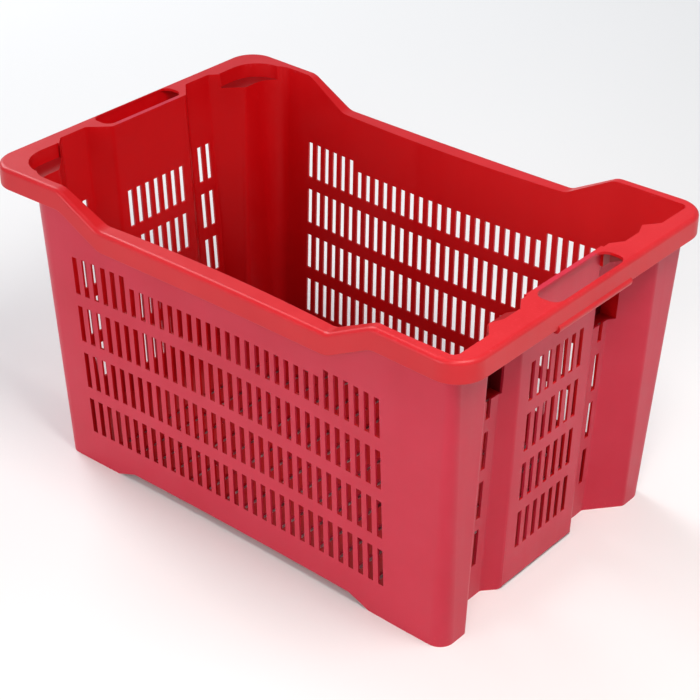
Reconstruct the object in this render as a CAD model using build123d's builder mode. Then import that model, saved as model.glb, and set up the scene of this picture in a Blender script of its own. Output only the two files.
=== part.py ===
from build123d import *
from math import atan, cos, tan
import os

# Stacking harvest crate, one plastic moulding divided at its bends into named pieces.
# Origin at the middle of the base, +X to the end with the recesses, +Y to the back, +Z up, in mm.

# Overall size over the rim
crate_length = 530.0
crate_width = 338.0
crate_height = 293.0

# Walls
wall = 2.0
side_draft = 0.0433
end_draft = 0.035
leg_draft = 0.045
foot_draft = 0.05
bend_radius = 6.0
leg_corner_base = 14.0
leg_corner_rim = 8.0
left_corner_base = 11.0
left_corner_rim = 27.0
base_bow = 2.0
wall_bow = 9.6
wall_bow_half = 185.0
wall_bow_easing = 12.0
rim_bow = 4.5
bow_reach = 0.85

# Each wall's distance in from the edge of the rim, measured at the rim's height
side_setback = 9.0
panel_setback = 29.4
recess_setback = 37.3
leg_setback = 14.2
foot_setback = 11.6
corner_setback = 36.8

# Widths across the ends, as distances from the middle plane
right_panel_half = 51.0
recess_inner = 65.0
recess_outer = 87.0
leg_inner = 117.0
left_panel_half = 46.0
foot_inner = 63.0
foot_outer = 96.0
corner_inner_base = 99.0
corner_inner_rim = 121.0

# Rim
rim_plate = 2.5
skirt = 2.5
skirt_height = 20.0
rim_corner_radius = 27.0
rim_round = 4.0
skirt_round = 0.8

# Low middle of the two long rims
dip_depth = 24.5
dip_half_length = 129.0
dip_ramp = 46.0
dip_round = 18.0

# Floor, the raised middle of the long walls and the raised bottom edge of the end panels
foot_height = 8.4
floor_thickness = 3.0
left_foot_end = 147.0
right_foot_end = 158.0
foot_ramp = 22.0
panel_rise = 3.0
panel_rise_half = 49.0
panel_rise_ramp = 5.0

# Ventilation slots
slot_pitch = 11.14
slot_width = 5.6
slot_height = 37.5
row_pitch = 50.1
first_row = 36.2
rows = 4
side_columns = 32
short_columns = 20
short_slot_drop = 9.5
panel_columns = 7
left_strip_start = 75.0
left_strip_columns = 2
right_strip_start = 78.0
right_strip_columns = 1

# Floor slots
floor_slot_length = 44.0
floor_row_pitch = 54.0
floor_rows = 5
floor_column_pitch = 22.3
floor_columns = 16

# Stacking pockets, the right pair with slanting ends
pocket_depth = 14.0
pocket_wall = 2.5
right_pocket_reach = 21.5
right_pocket_inner = 52.0
right_pocket_outer = 104.0
right_pocket_shallow = 5.0
inner_slant_start = 60.0
inner_slant_end = 71.0
outer_slant = 12.5
left_pocket_reach = 20.0
left_pocket_inner = 103.0
left_pocket_outer = 153.6
left_pocket_radius = 30.0
left_pocket_length = 40.0

# Niches in the recesses at the right end
niche_sill = 204.5
niche_knee = 240.0
niche_top = 250.0
niche_inner = 63.0
niche_outer = 93.0
niche_depth = 9.3

# Handles in the end rims
handle_half_length = 48.0
handle_sill = 2.5
handle_bar = 3.5
handle_end_radius = 9.0
grip_half_length = 50.0
grip_seam = 56.0
grip_radius = 4.5
grip_proud = 1.5

# Where the pieces of the moulding are divided
right_seam = 205.0
left_seam = 190.0
middle_columns = 24

# Values that follow from the sizes above
half_length = crate_length / 2
half_width = crate_width / 2
plate_underside = crate_height - rim_plate
pocket_floor = crate_height - pocket_depth
wall_seam = middle_columns / 2 * slot_pitch
past = crate_length
beyond = 50.0
level_limit = 0.5


# Plan outlines of the walls and of the rim


def face_position(half, setback, draft, height):
    """Distance from the middle plane to a wall's outer face at a height."""
    return half - setback - draft * (crate_height - height)


def moved_inwards(points, distance):
    """The corners of a closed outline, drawn anticlockwise, after its sides move inwards."""
    moved = []
    for index, point in enumerate(points):
        before = (point - points[index - 1]).normalized()
        after = (points[(index + 1) % len(points)] - point).normalized()
        normal_before = Vector(-before.Y, before.X)
        normal_after = Vector(-after.Y, after.X)
        share = distance / (1 + normal_before.dot(normal_after))
        moved.append(point + (normal_before + normal_after) * share)
    return moved


def bow_radius(depth, half, easing):
    """Radius that rounds the middle of a bowed side over most of its half, short of its eased end."""
    return bow_reach * (half - easing) * half / depth


def wall_outline(height, inwards):
    """Corner points and radii of the walls' outline at a height, moved inwards from the outer face."""
    side = face_position(half_width, side_setback, side_draft, height)
    panel = face_position(half_length, panel_setback, end_draft, height)
    recess = face_position(half_length, recess_setback, foot_draft, height)
    leg = face_position(half_length, leg_setback, leg_draft, height)
    foot = face_position(half_length, foot_setback, foot_draft, height)
    corner = face_position(half_length, corner_setback, foot_draft, height)
    corner_inner = corner_inner_base + (corner_inner_rim - corner_inner_base) * height / crate_height
    bow = (base_bow + (wall_bow - base_bow) * height / crate_height) / (1 - bow_reach / 2)
    outside = bend_radius - inwards
    inside = bend_radius - wall + inwards
    leg_round = leg_corner_base + (leg_corner_rim - leg_corner_base) * height / crate_height - inwards
    left_round = left_corner_base + (left_corner_rim - left_corner_base) * height / crate_height - inwards
    bow_round = bow_radius(bow, wall_bow_half, wall_bow_easing) + inwards
    bow_end_round = wall_bow_easing / tan(atan(bow / wall_bow_half) / 2) - inwards
    back_half = [
        ((panel, right_panel_half), outside),
        ((recess, recess_inner), inside),
        ((recess, recess_outer), inside),
        ((leg, leg_inner), outside),
        ((leg, side), leg_round),
        ((wall_bow_half, side), bow_end_round),
        ((0, side - bow), bow_round),
        ((-wall_bow_half, side), bow_end_round),
        ((-corner, side), left_round),
        ((-corner, corner_inner), inside),
        ((-foot, foot_outer), outside),
        ((-foot, foot_inner), outside),
        ((-panel, left_panel_half), inside),
    ]
    front_half = [((x, -y), radius) for (x, y), radius in reversed(back_half)]
    corners = back_half + front_half
    points = moved_inwards([Vector(x, y) for (x, y), radius in corners], inwards)
    return points, [radius for point, radius in corners]


def rim_outline(inwards):
    """Corner points and radii of the rim's outer outline, moved inwards."""
    bow = rim_bow / (1 - bow_reach / 2)
    corner_round = rim_corner_radius - inwards
    bow_round = bow_radius(bow, half_length, rim_corner_radius) + inwards
    lean = atan(bow / half_length)
    corner = half_width + rim_corner_radius * (tan(lean) + 1 / cos(lean) - 1)
    corners = [
        ((half_length, corner), corner_round),
        ((0, corner - bow), bow_round),
        ((-half_length, corner), corner_round),
        ((-half_length, -corner), corner_round),
        ((0, bow - corner), bow_round),
        ((half_length, -corner), corner_round),
    ]
    points = moved_inwards([Vector(x, y) for (x, y), radius in corners], inwards)
    return points, [radius for point, radius in corners]


def rim_line(drop):
    """Corner points and radii, in X and Z, of the rim's top edge seen from the front, lowered by a drop."""
    high = crate_height - drop
    low = high - dip_depth
    ramp_top = dip_half_length + dip_ramp
    points = [
        (-past, high),
        (-ramp_top, high),
        (-dip_half_length, low),
        (dip_half_length, low),
        (ramp_top, high),
        (past, high),
    ]
    return points, [dip_round] * 4


def side_region(drop, edge):
    """A solid across the whole width, between the lowered rim line and a level above or below it."""
    with BuildPart() as region:
        with BuildSketch(Plane.XZ):
            with BuildLine():
                points, radii = rim_line(drop)
                top_line = FilletPolyline(*points, radius=radii)
                Polyline(top_line @ 1, (past, edge), (-past, edge), top_line @ 0)
            make_face()
        extrude(amount=past, both=True)
    return region.part


def upright_body(bottom, top, inwards):
    """The solid inside the walls' outline between two heights."""
    with BuildPart() as body:
        for height in (bottom, top):
            with BuildSketch(Plane.XY.offset(height)):
                with BuildLine():
                    points, radii = wall_outline(height, inwards)
                    FilletPolyline(*points, radius=radii, close=True)
                make_face()
        loft(ruled=True)
    return body.part


def within(body, x_range, y_range):
    """The part of a body between two X and two Y positions."""
    with BuildPart() as piece:
        add(body)
        with BuildSketch(Plane.XY):
            with BuildLine():
                Polyline(
                    (x_range[0], y_range[0]),
                    (x_range[1], y_range[0]),
                    (x_range[1], y_range[1]),
                    (x_range[0], y_range[1]),
                    close=True,
                )
            make_face()
        extrude(amount=past, mode=Mode.INTERSECT)
    return piece.part


pieces = {}


def keep(name, body):
    """Keep a finished piece under its name."""
    pieces[name] = body


def keep_pair(name, front_body):
    """Keep a front piece and its mirror image at the back."""
    keep("front_" + name, front_body)
    with BuildPart() as back:
        mirror(front_body, about=Plane.XZ)
    keep("back_" + name, back.part)


# Solids that shape the pieces

outer_body = upright_body(0, crate_height, 0)
inner_body = upright_body(-beyond, crate_height + beyond, wall)
above_walls = side_region(rim_plate, crate_height + beyond)
above_rim = side_region(0, crate_height + beyond)
below_plate = side_region(rim_plate, -beyond)
below_skirt = side_region(skirt_height, -beyond)

# Stacking pockets: the hollow of each, and the block that holds its floor and walls

right_pocket_end = half_length - right_pocket_reach
left_pocket_end = half_length - left_pocket_reach
left_pocket_start = left_pocket_end - left_pocket_length
panel_top = face_position(half_length, panel_setback, end_draft, crate_height)


def right_pocket(grow, low, high):
    """Upright block over the front right pocket, grown outwards, between two heights."""
    with BuildPart() as block:
        with BuildSketch(Plane.XY.offset(low)):
            with BuildLine():
                path = [
                    (right_seam, -right_pocket_outer),
                    (right_pocket_end - right_pocket_shallow, -right_pocket_outer),
                    (right_pocket_end, outer_slant - right_pocket_outer),
                    (right_pocket_end, -inner_slant_end),
                    (panel_top, -inner_slant_start),
                    (panel_top, -right_pocket_inner),
                    (right_seam, -right_pocket_inner),
                ]
                grown = moved_inwards([Vector(*point) for point in path], -grow)
                Polyline(*grown, close=True)
            make_face()
        extrude(amount=high - low)
    return block.part


def left_pocket(grow, low, high):
    """Upright block over the front left pocket, grown outwards, between two heights."""
    with BuildPart() as block:
        with BuildSketch(Plane.XY.offset(low)):
            with BuildLine():
                path = [
                    (-left_pocket_start, -left_pocket_inner + grow),
                    (-left_pocket_end - grow, -left_pocket_inner + grow),
                    (-left_pocket_end - grow, -left_pocket_outer - grow),
                    (-left_pocket_start, -left_pocket_outer - grow),
                ]
                FilletPolyline(*path, radius=[0, 0, left_pocket_radius + grow, 0], close=True)
            make_face()
        extrude(amount=high - low)
    return block.part


def pocket_tray(pocket):
    """Floor and walls of a pocket, open at the top and towards the inside of the crate."""
    with BuildPart() as tray:
        add(pocket(pocket_wall, pocket_floor - pocket_wall, plate_underside))
        add(pocket(0, pocket_floor, plate_underside), mode=Mode.SUBTRACT)
        add(inner_body, mode=Mode.SUBTRACT)
    return tray.part


keep_pair("right_pocket", pocket_tray(right_pocket))
keep_pair("left_pocket", pocket_tray(left_pocket))

# Niches: each a blind box in the recess wall, with a roof that slants down into the crate

niche_mouth = face_position(half_length, recess_setback, foot_draft, niche_sill) - wall
niche_back = niche_mouth - niche_depth


def niche_block(grow):
    """The front niche's hollow, grown outwards by the thickness of its walls."""
    with BuildPart() as block:
        with BuildSketch(Plane.XZ.offset(niche_inner - grow)):
            with BuildLine():
                path = [
                    (half_length, niche_sill),
                    (half_length, niche_top),
                    (niche_mouth, niche_top),
                    (niche_back, niche_knee),
                    (niche_back, niche_sill),
                ]
                grown = moved_inwards([Vector(*point) for point in path], -grow)
                Polyline(*grown, close=True)
            make_face()
        extrude(amount=niche_outer - niche_inner + 2 * grow)
    return block.part


niche_hollow = niche_block(0)
with BuildPart() as niche:
    add(niche_block(wall))
    add(niche_hollow, mode=Mode.SUBTRACT)
    add(inner_body, mode=Mode.INTERSECT)
keep_pair("right_niche", niche.part)

# Walls: one shell with every niche and edge cut, before it is divided

row_middle = first_row + slot_height / 2
row_centres = [row_middle + row * row_pitch for row in range(rows)]
panel_slots = [(column - (panel_columns - 1) / 2) * slot_pitch for column in range(panel_columns)]


def strip_slots(start, count):
    """Distances from the middle plane of the slot columns in an end strip."""
    return [start + column * slot_pitch for column in range(count)]


def both_sides(positions):
    """Positions with their mirror images."""
    return positions + [-position for position in positions]


def end_slots(direction, positions):
    """A bar for every slot of one end wall, running outwards from the middle of the crate."""
    with BuildPart() as bars:
        with BuildSketch(Plane.YZ):
            with Locations(*[(position, height) for position in positions for height in row_centres]):
                Rectangle(slot_width, slot_height)
        extrude(amount=direction * past)
    return bars.part


with BuildPart() as side_slots:
    with BuildSketch(Plane.XZ):
        for column in range(side_columns):
            across = (column - (side_columns - 1) / 2) * slot_pitch
            is_short = abs(across) < short_columns / 2 * slot_pitch
            with Locations(*[(across, height) for height in row_centres[:-1]]):
                Rectangle(slot_width, slot_height)
            drop = short_slot_drop if is_short else 0
            with Locations((across, row_centres[-1] - drop / 2)):
                Rectangle(slot_width, slot_height - drop)
    extrude(amount=past, both=True)

with BuildPart() as raised_middle:
    with BuildSketch(Plane.XZ):
        with BuildLine():
            Polyline(
                (-left_foot_end, -foot_height),
                (-left_foot_end, 0),
                (foot_ramp - left_foot_end, foot_height),
                (right_foot_end - foot_ramp, foot_height),
                (right_foot_end, 0),
                (right_foot_end, -foot_height),
                close=True,
            )
        make_face()
    extrude(amount=past, both=True)

with BuildPart() as raised_panels:
    with BuildSketch(Plane.YZ):
        with BuildLine():
            Polyline(
                (-panel_rise_half - panel_rise_ramp, 0),
                (panel_rise_half + panel_rise_ramp, 0),
                (panel_rise_half, panel_rise),
                (-panel_rise_half, panel_rise),
                close=True,
            )
        make_face()
    extrude(amount=past, both=True)

with BuildPart() as shell:
    add(outer_body)
    add(inner_body, mode=Mode.SUBTRACT)
    add(above_walls, mode=Mode.SUBTRACT)
    add(raised_middle.part, mode=Mode.SUBTRACT)
    add(raised_panels.part, mode=Mode.SUBTRACT)
    for pocket in (right_pocket, left_pocket):
        block = pocket(pocket_wall, pocket_floor - pocket_wall, crate_height)
        add(block, mode=Mode.SUBTRACT)
        add(mirror(block, about=Plane.XZ, mode=Mode.PRIVATE), mode=Mode.SUBTRACT)
    add(niche_hollow, mode=Mode.SUBTRACT)
    add(mirror(niche_hollow, about=Plane.XZ, mode=Mode.PRIVATE), mode=Mode.SUBTRACT)

# Long walls: the middle below the dip, and the ends that rise to the corners

front_half = (-past, 0)
with BuildPart() as front_side:
    add(within(shell.part, (-left_seam, right_seam), front_half))
    add(side_slots.part, mode=Mode.SUBTRACT)
keep_pair("wall", within(front_side.part, (-wall_seam, wall_seam), front_half))
keep_pair("left_wall_end", within(front_side.part, (-left_seam, -wall_seam), front_half))
keep_pair("right_wall_end", within(front_side.part, (wall_seam, right_seam), front_half))

# End panels

with BuildPart() as right_panel:
    add(within(shell.part, (right_seam, past), (-right_panel_half, right_panel_half)))
    add(end_slots(1, panel_slots), mode=Mode.SUBTRACT)
keep("right_panel", right_panel.part)

with BuildPart() as left_panel:
    add(within(shell.part, (-past, -left_seam), (-left_panel_half, left_panel_half)))
    add(end_slots(-1, panel_slots), mode=Mode.SUBTRACT)
keep("left_panel", left_panel.part)

# Right end: the recess on each side of the panel, and the corner legs

right_end = (right_seam, past)
keep_pair("right_panel_side", within(shell.part, right_end, (-recess_inner, -right_panel_half)))
with BuildPart() as recess_face:
    add(within(shell.part, right_end, (-recess_outer, -recess_inner)))
    add(end_slots(1, both_sides(strip_slots(right_strip_start, right_strip_columns))), mode=Mode.SUBTRACT)
face_below_niche, face_above_niche = recess_face.part.solids().sort_by(Axis.Z)
keep_pair("right_recess_face", face_below_niche)
keep_pair("right_recess_head", face_above_niche)
keep_pair("right_recess_side", within(shell.part, right_end, (-leg_inner, -recess_outer)))
keep_pair("right_leg", within(shell.part, right_end, (-past, -leg_inner)))

# Left end: the standing foot on each side of the panel, and the set-back corners

left_end = (-past, -left_seam)
keep_pair("left_foot_inner_side", within(shell.part, left_end, (-foot_inner, -left_panel_half)))
with BuildPart() as foot_face:
    add(within(shell.part, left_end, (-foot_outer, -foot_inner)))
    add(end_slots(-1, both_sides(strip_slots(left_strip_start, left_strip_columns))), mode=Mode.SUBTRACT)
keep_pair("left_foot_face", foot_face.part)


def beyond_corner_edge():
    """Everything outside the slanting edge between a foot's outer side and the set-back corner."""
    with BuildPart() as region:
        with BuildSketch(Plane.YZ):
            with BuildLine():
                Polyline(
                    (-corner_inner_base, 0),
                    (-corner_inner_rim, crate_height),
                    (-past, crate_height),
                    (-past, 0),
                    close=True,
                )
            make_face()
        extrude(amount=-past)
    return region.part


corner_zone = beyond_corner_edge()
left_side_zone = within(shell.part, left_end, (-past, -foot_outer))
with BuildPart() as foot_outer_side:
    add(left_side_zone)
    add(corner_zone, mode=Mode.SUBTRACT)
keep_pair("left_foot_outer_side", foot_outer_side.part)
with BuildPart() as left_corner:
    add(left_side_zone)
    add(corner_zone, mode=Mode.INTERSECT)
keep_pair("left_corner", left_corner.part)

# Floor: a slotted plate that fills the walls' inside

with BuildPart() as floor:
    add(inner_body)
    with BuildSketch(Plane.XY.offset(foot_height)):
        Rectangle(2 * past, 2 * past)
    extrude(amount=floor_thickness, mode=Mode.INTERSECT)
    with BuildSketch(Plane.XY.offset(foot_height)):
        with GridLocations(floor_column_pitch, floor_row_pitch, floor_columns, floor_rows):
            Rectangle(slot_width, floor_slot_length)
    extrude(amount=floor_thickness, mode=Mode.SUBTRACT)
keep("floor", floor.part)

# Rim: a flat top with a skirt, rounded along its outer edges, before it is divided

lowest_edge = crate_height - dip_depth - skirt_height
rim_rise = crate_height - lowest_edge
handle_inner = face_position(half_length, panel_setback, end_draft, crate_height) + handle_sill
handle_outer = half_length - handle_bar


def rim_prism(inwards, low):
    """The solid inside the rim's outline, as tall as the rim with its dips."""
    with BuildPart() as prism:
        with BuildSketch(Plane.XY.offset(low)):
            with BuildLine():
                points, radii = rim_outline(inwards)
                FilletPolyline(*points, radius=radii, close=True)
            make_face()
        extrude(amount=rim_rise)
    return prism.part


def border_edges(faces):
    """The edges round a patch of faces, without the edges between two of them."""
    edges = faces.edges()
    return [edge for edge in edges if edges.count(edge) == 1]


with BuildPart() as rim_hollow:
    add(rim_prism(skirt, lowest_edge - rim_plate))
    add(below_plate, mode=Mode.INTERSECT)

with BuildPart() as rim:
    add(rim_prism(0, lowest_edge))
    add(above_rim, mode=Mode.SUBTRACT)
    add(below_skirt, mode=Mode.SUBTRACT)
    fillet(border_edges(rim.faces().filter_by(lambda face: face.normal_at().Z > level_limit)), rim_round)
    fillet(border_edges(rim.faces().filter_by(lambda face: face.normal_at().Z < -level_limit)), skirt_round)
    add(rim_hollow.part, mode=Mode.SUBTRACT)
    add(inner_body, mode=Mode.SUBTRACT)
    for pocket in (right_pocket, left_pocket):
        hollow = pocket(0, pocket_floor, crate_height)
        add(hollow, mode=Mode.SUBTRACT)
        add(mirror(hollow, about=Plane.XZ, mode=Mode.PRIVATE), mode=Mode.SUBTRACT)
    with BuildSketch(Plane.XY.offset(plate_underside)):
        handle_middle = (handle_inner + handle_outer) / 2
        with Locations((handle_middle, 0), (-handle_middle, 0)):
            RectangleRounded(handle_outer - handle_inner, 2 * handle_half_length, handle_end_radius)
    extrude(amount=rim_plate, mode=Mode.SUBTRACT)

# Long rims: the low middle, and the rails that rise from it to the corners

rim_corner_x = half_length - rim_corner_radius
rim_corner_y = half_width - rim_corner_radius
front_side = (-past, -rim_corner_y)
keep_pair("rim_dip", within(rim.part, (-dip_half_length, dip_half_length), front_side))
keep_pair("left_rim_rail", within(rim.part, (-rim_corner_x, -dip_half_length), front_side))
keep_pair("right_rim_rail", within(rim.part, (dip_half_length, rim_corner_x), front_side))
keep_pair("left_rim_corner", within(rim.part, (-past, -rim_corner_x), front_side))
keep_pair("right_rim_corner", within(rim.part, (rim_corner_x, past), front_side))

# End rims: the lengths beside the handles, the sill over each panel, and the bars with their grips

handle_seam = handle_half_length - handle_end_radius


def end_rim(x_range, bar_range):
    """The front length of an end rim, without the handle's bar."""
    with BuildPart() as length:
        add(within(rim.part, x_range, (-rim_corner_y, -handle_seam)))
        add(within(rim.part, bar_range, (-grip_seam, grip_seam)), mode=Mode.SUBTRACT)
    return length.part


def handle_with_grip(bar_range, grip_x):
    """The bar outside a handle slot, with the rounded grip along its lower edge."""
    with BuildPart() as bar:
        add(within(rim.part, bar_range, (-grip_seam, grip_seam)))
        with BuildSketch(Plane.XZ):
            with Locations((grip_x, crate_height - skirt_height)):
                Circle(grip_radius)
        extrude(amount=grip_half_length, both=True)
    return bar.part


right_bar = (handle_outer, past)
left_bar = (-past, -handle_outer)
grip_place = half_length + grip_proud - grip_radius
keep_pair("right_end_rim", end_rim(right_end, right_bar))
keep_pair("left_end_rim", end_rim(left_end, left_bar))
keep("right_handle_sill", within(rim.part, (right_seam, handle_inner), (-handle_seam, handle_seam)))
keep("left_handle_sill", within(rim.part, (-handle_inner, -left_seam), (-handle_seam, handle_seam)))
keep("right_handle_bar", handle_with_grip(right_bar, grip_place))
keep("left_handle_bar", handle_with_grip(left_bar, -grip_place))

# Write one file for each piece

os.makedirs("parts", exist_ok=True)
for name, body in pieces.items():
    body.label = name
    export_step(body, f"parts/{name}.step")
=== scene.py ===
"""Looks of the harvest crate: satin red moulded plastic on a pale studio floor. Lengths are in metres."""
import math

import bpy
from mathutils import Matrix, Vector

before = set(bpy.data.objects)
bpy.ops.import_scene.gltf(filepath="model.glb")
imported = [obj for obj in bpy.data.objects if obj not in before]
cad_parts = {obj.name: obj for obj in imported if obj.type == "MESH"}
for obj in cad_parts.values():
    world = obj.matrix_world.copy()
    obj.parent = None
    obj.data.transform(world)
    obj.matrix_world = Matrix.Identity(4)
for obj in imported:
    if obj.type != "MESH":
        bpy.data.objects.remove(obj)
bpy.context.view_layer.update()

# Camera, with its angles in degrees and its lens and sensor in millimetres
camera_azimuth = 40.828
camera_elevation = 31.513
camera_roll = -0.074
camera_target = Vector((0.0064, 0.0055, 0.1256))
camera_distance = 1.6659
camera_lens = 94.753
camera_sensor = 36.0
camera_reach = (0.05, 60.0)

# Light: place, aim, size, power in watts and colour of each softbox
sky_strength = 0.30
warm_light = (1.0, 0.96, 0.92)
cool_light = (0.95, 0.97, 1.0)
softboxes = {
    "key_softbox": ((-0.9, -3.75, 0.9), (0.0, 0.0, 0.15), (2.0, 1.2), 52.0, cool_light),
    "top_softbox": ((0.65, -0.20, 1.25), (0.10, 0.0, 0.25), (0.5, 0.5), 11.0, warm_light),
    "fill_softbox": ((1.1, -1.6, 1.55), (0.0, 0.0, 0.2), (0.6, 0.6), 9.0, warm_light),
    "side_softbox": ((2.6, 1.5, 1.7), (1.1, 0.6, 0.0), (1.6, 1.6), 12.0, cool_light),
    "backdrop_softbox": ((-3.2, 0.9, 2.4), (-1.7, 2.2, 0.0), (2.4, 2.4), 112.0, cool_light),
}

# Floor
floor_half = 8.0
floor_white = (0.88, 0.88, 0.88, 1.0)
floor_roughness = 0.9
floor_specular = 0.1

# Colours of the plastic, as pairs between which its pigment drifts
own_reds = ((0.52, 0.0012, 0.0030, 1.0), (0.58, 0.0025, 0.0050, 1.0))
# Outside faces of the walls and rim: painted sheen, a paler and pinker red than the inside
painted_sheen_wall = ((0.50, 0.014, 0.037, 1.0), (0.56, 0.024, 0.054, 1.0))
painted_sheen_rim = ((0.53, 0.010, 0.016, 1.0), (0.60, 0.019, 0.025, 1.0))
# Pockets and niches: painted shade, a much darker red standing in for shade in these recesses
painted_shade_pocket = ((0.28, 0.004, 0.006, 1.0), (0.36, 0.006, 0.009, 1.0))
painted_shade_niche = ((0.10, 0.002, 0.004, 1.0), (0.17, 0.003, 0.006, 1.0))
# Painted shade on the inside, darkest at the floor
painted_shade_red = (0.20, 0.0010, 0.0020, 1.0)
scuffed_red = (0.68, 0.060, 0.090, 1.0)

# Noise textures: scale, detail and roughness
drift_noise = (14.0, 3.0, 0.55)
streak_noise = (1.0, 1.0, 0.4)
blotch_noise = (22.0, 4.0, 0.6)
speck_noise = (420.0, 5.0, 0.65)
patch_noise = (38.0, 4.0, 0.6)
grain_noise = (1100.0, 2.0, 0.5)
noise_span = (0.3, 0.7)

# Pigment: how far the streaks are drawn out, and how much drift and streaks lighten the red
streak_scale = (110.0, 110.0, 5.0)
streak_span = (0.3, 0.75)
drift_lightening = (0.0, 0.65)
streak_lightening = (0.0, 0.15)

# Painted sheen and shade: the middle of the crate's inside, and how far a face is turned away from it
crate_middle = (0.0, 0.0, 0.2)
outside_span = (-0.01, 0.02)

# Painted shade: heights between which the inside is painted darker towards the floor, and its strength
shade_heights = (0.21, 0.02)
shade_strength = (0.0, 0.8)
blotch_strength = (0.7, 1.0)

# Scuffs: heights between which the standing edges and the rim are scuffed, and their strength
base_scuff = (0.020, 0.002)
rim_scuff = (0.2885, 0.2935)
speck_span = (0.56, 0.72)
scuff_strength = 0.55
scuff_roughness = 0.2

# Satin finish and moulded grain
patch_roughness = (0.29, 0.35)
streak_roughness = (0.0, 0.08)
grain_strength = 0.10
grain_depth = 0.0004
plastic_ior = 1.5
plastic_specular = 0.30


def place_camera():
    azimuth = math.radians(camera_azimuth)
    elevation = math.radians(camera_elevation)
    outward = Vector((
        math.cos(elevation) * math.sin(azimuth),
        -math.cos(elevation) * math.cos(azimuth),
        math.sin(elevation),
    ))
    level = Vector((math.cos(azimuth), math.sin(azimuth), 0.0))
    upward = outward.cross(level)
    turn = Matrix.Rotation(math.radians(camera_roll), 3, outward)
    axes = turn @ Matrix((level, upward, outward)).transposed()
    place = Matrix.Translation(camera_target + outward * camera_distance)
    data = bpy.data.cameras.new("camera")
    data.sensor_width = camera_sensor
    data.lens = camera_lens
    data.clip_start, data.clip_end = camera_reach
    camera = bpy.data.objects.new("camera", data)
    bpy.context.scene.collection.objects.link(camera)
    camera.matrix_world = place @ axes.to_4x4()
    bpy.context.scene.camera = camera


def add_softbox(name, location, aim, size, power, colour):
    data = bpy.data.lights.new(name, "AREA")
    data.shape = "RECTANGLE"
    data.size, data.size_y = size
    data.energy = power
    data.color = colour
    light = bpy.data.objects.new(name, data)
    bpy.context.scene.collection.objects.link(light)
    light.location = location
    light.rotation_euler = (Vector(aim) - Vector(location)).to_track_quat("-Z", "Y").to_euler()


def light_studio():
    world = bpy.data.worlds.new("studio")
    bpy.context.scene.world = world
    world.use_nodes = True
    background = world.node_tree.nodes["Background"]
    background.inputs["Color"].default_value = (*cool_light, 1.0)
    background.inputs["Strength"].default_value = sky_strength
    for name, settings in softboxes.items():
        add_softbox(name, *settings)


def lay_floor():
    half = floor_half
    mesh = bpy.data.meshes.new("studio_floor")
    corners = [(-half, -half, 0.0), (half, -half, 0.0), (half, half, 0.0), (-half, half, 0.0)]
    mesh.from_pydata(corners, [], [(0, 1, 2, 3)])
    floor = bpy.data.objects.new("studio_floor", mesh)
    bpy.context.scene.collection.objects.link(floor)
    material = bpy.data.materials.new("studio_floor")
    material.use_nodes = True
    shader = material.node_tree.nodes["Principled BSDF"]
    shader.inputs["Base Color"].default_value = floor_white
    shader.inputs["Roughness"].default_value = floor_roughness
    shader.inputs["Specular IOR Level"].default_value = floor_specular
    mesh.materials.append(material)


class Nodes:
    """Builds the node tree of one material. A value is a number, a colour or another node's output."""

    def __init__(self, material):
        self.tree = material.node_tree

    def add(self, kind, settings=None, **values):
        node = self.tree.nodes.new(kind)
        for name, value in (settings or {}).items():
            setattr(node, name, value)
        for name, value in values.items():
            self.feed(node.inputs[name.replace("_", " ")], value)
        return node

    def feed(self, socket, value):
        if isinstance(value, bpy.types.NodeSocket):
            self.tree.links.new(value, socket)
        else:
            socket.default_value = value

    def noise(self, place, scale, detail, roughness):
        node = self.add("ShaderNodeTexNoise", Vector=place, Scale=scale, Detail=detail, Roughness=roughness)
        return node.outputs["Fac"]

    def ramp(self, value, span, result=(0.0, 1.0)):
        start, end = span
        low, high = result
        limits = {"From_Min": start, "From_Max": end, "To_Min": low, "To_Max": high}
        return self.add("ShaderNodeMapRange", Value=value, **limits).outputs["Result"]

    def pair(self, kind, operation, first, second):
        node = self.add(kind, {"operation": operation})
        self.feed(node.inputs[0], first)
        self.feed(node.inputs[1], second)
        return node

    def maths(self, operation, first, second):
        node = self.pair("ShaderNodeMath", operation, first, second)
        node.use_clamp = True
        return node.outputs["Value"]

    def blend(self, factor, first, second):
        node = self.add("ShaderNodeMix", {"data_type": "RGBA"})
        colours = [socket for socket in node.inputs if socket.type == "RGBA"]
        self.feed(node.inputs["Factor"], factor)
        self.feed(colours[0], first)
        self.feed(colours[1], second)
        return [socket for socket in node.outputs if socket.type == "RGBA"][0]


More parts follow.
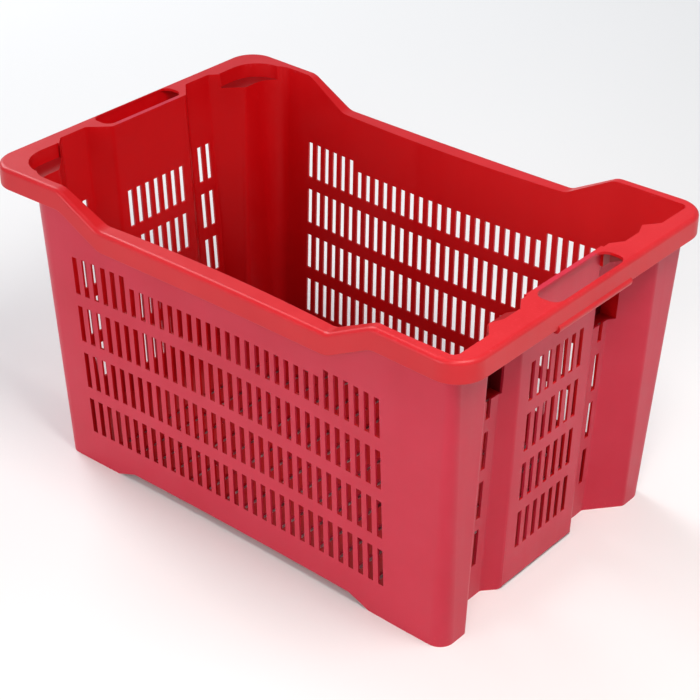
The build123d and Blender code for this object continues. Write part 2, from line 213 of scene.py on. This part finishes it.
def moulded_plastic(name, painted_light_reds):
    material = bpy.data.materials.new(name)
    material.use_nodes = True
    nodes = Nodes(material)
    shader = material.node_tree.nodes["Principled BSDF"]
    coordinates = nodes.add("ShaderNodeTexCoord")
    place = coordinates.outputs["Object"]
    height = nodes.add("ShaderNodeSeparateXYZ", Vector=place).outputs["Z"]

    # Pigment that drifts slowly through the moulding, drawn out along the way it left the mould
    drift = nodes.noise(place, *drift_noise)
    drawn_out = nodes.add("ShaderNodeMapping", Vector=place, Scale=streak_scale).outputs["Vector"]
    streaks = nodes.noise(drawn_out, *streak_noise)
    drifting = nodes.ramp(drift, noise_span, drift_lightening)
    streaked = nodes.ramp(streaks, streak_span, streak_lightening)
    pigment = nodes.maths("ADD", drifting, streaked)
    own_colour = nodes.blend(pigment, *own_reds)
    painted_light_colour = nodes.blend(pigment, *painted_light_reds)

    # Faces turned away from the middle of the crate have their own reds: painted sheen on the walls and
    # rim, painted shade in the pockets and niches
    outward = nodes.pair("ShaderNodeVectorMath", "SUBTRACT", place, crate_middle).outputs["Vector"]
    normal = coordinates.outputs["Normal"]
    facing = nodes.pair("ShaderNodeVectorMath", "DOT_PRODUCT", outward, normal).outputs["Value"]
    outside = nodes.ramp(facing, outside_span)

    # Painted shade: the inside is painted darker, more and more towards the floor, in blotches
    blotches = nodes.ramp(nodes.noise(place, *blotch_noise), noise_span, blotch_strength)
    painted_shade_amount = nodes.maths("MULTIPLY", nodes.ramp(height, shade_heights, shade_strength), blotches)
    inside_colour = nodes.blend(painted_shade_amount, own_colour, painted_shade_red)
    colour = nodes.blend(outside, inside_colour, painted_light_colour)

    # Fine scuffs where the crate stands and where others are stacked on it
    handled = nodes.maths("MAXIMUM", nodes.ramp(height, base_scuff), nodes.ramp(height, rim_scuff))
    specks = nodes.ramp(nodes.noise(place, *speck_noise), speck_span)
    worn = nodes.maths("MULTIPLY", handled, specks)
    scuffed = nodes.maths("MULTIPLY", worn, scuff_strength)
    nodes.feed(shader.inputs["Base Color"], nodes.blend(scuffed, colour, scuffed_red))

    # Satin finish, a little uneven and duller where it is worn
    patches = nodes.ramp(nodes.noise(place, *patch_noise), noise_span, patch_roughness)
    satin = nodes.maths("ADD", patches, nodes.ramp(streaks, noise_span, streak_roughness))
    dulled = nodes.maths("MULTIPLY", worn, scuff_roughness)
    nodes.feed(shader.inputs["Roughness"], nodes.maths("ADD", satin, dulled))

    # Fine moulded grain
    grain = nodes.noise(place, *grain_noise)
    bump = nodes.add("ShaderNodeBump", Strength=grain_strength, Distance=grain_depth, Height=grain)
    nodes.feed(shader.inputs["Normal"], bump.outputs["Normal"])
    shader.inputs["IOR"].default_value = plastic_ior
    shader.inputs["Specular IOR Level"].default_value = plastic_specular
    return material


def dress_crate():
    # The wall and rim plastics carry painted sheen on their outside faces; the pocket and niche plastics
    # carry painted shade
    wall_plastic = moulded_plastic("crate_plastic_wall", painted_sheen_wall)
    rim_plastic = moulded_plastic("crate_plastic_rim", painted_sheen_rim)
    pocket_plastic = moulded_plastic("crate_plastic_pocket", painted_shade_pocket)
    niche_plastic = moulded_plastic("crate_plastic_niche", painted_shade_niche)
    for name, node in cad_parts.items():
        if "rim" in name or "handle_bar" in name:
            plastic = rim_plastic
        elif "pocket" in name:
            plastic = pocket_plastic
        elif "niche" in name:
            plastic = niche_plastic
        else:
            plastic = wall_plastic
        node.data.materials.clear()
        node.data.materials.append(plastic)


bpy.context.scene.view_settings.view_transform = "Standard"
place_camera()
light_studio()
lay_floor()
dress_crate()
